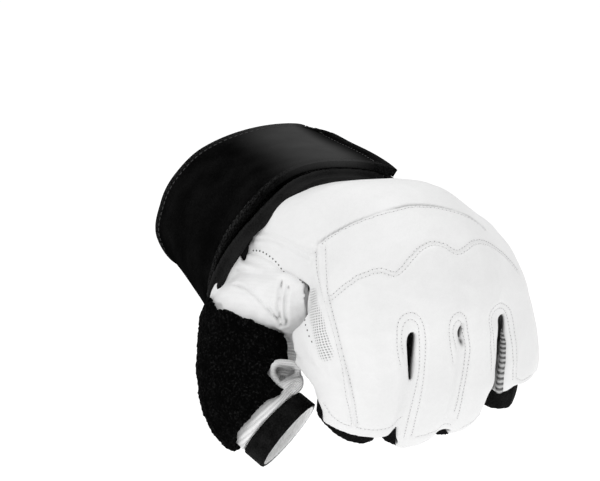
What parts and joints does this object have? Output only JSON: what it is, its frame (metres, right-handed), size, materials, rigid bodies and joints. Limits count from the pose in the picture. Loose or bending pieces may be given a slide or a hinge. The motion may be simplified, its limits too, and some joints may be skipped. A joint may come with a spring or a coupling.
{
  "type": "karate glove",
  "caption": "Padded karate glove for the left hand, in the shape of a closed fist, with open finger ends, a covered thumb and a wrist strap wound round a cuff.",
  "frame": {"origin": "middle of the wrist opening, half-way along the strap", "axes": "+Y out of the wrist opening along the arm, -Y towards the knuckles, +Z to the back of the hand, the thumb on the -X side"},
  "size_m": [0.1325, 0.1252, 0.0975],
  "materials": {
    "leather": "white grained leather, satin",
    "mesh": "white perforated air mesh, matt",
    "knit": "white ribbed stretch knit, matt",
    "elastic": "black woven elastic, matt",
    "terry": "black terry pile, matt",
    "cuff": "black stretch cloth over foam, matt",
    "strap": "black nylon-faced foam, matt"
  },
  "bodies": {
    "root": {"wrist_cuff": "cuff", "thumb_gusset": "knit", "thumb_tube": "knit", "thumb_band": "elastic", "thumb_patch": "terry", "back_panel": "leather", "knuckle_panel": "leather", "index_side_panel": "mesh", "palm_panel": "leather", "finger_tube_index": "knit", "finger_band_index": "elastic", "finger_tube_middle": "knit", "finger_band_middle": "elastic", "finger_tube_ring": "knit", "finger_band_ring": "elastic", "finger_tube_little": "knit", "finger_band_little": "elastic", "wrist_strap": "strap"}
  },
  "joints": []
}
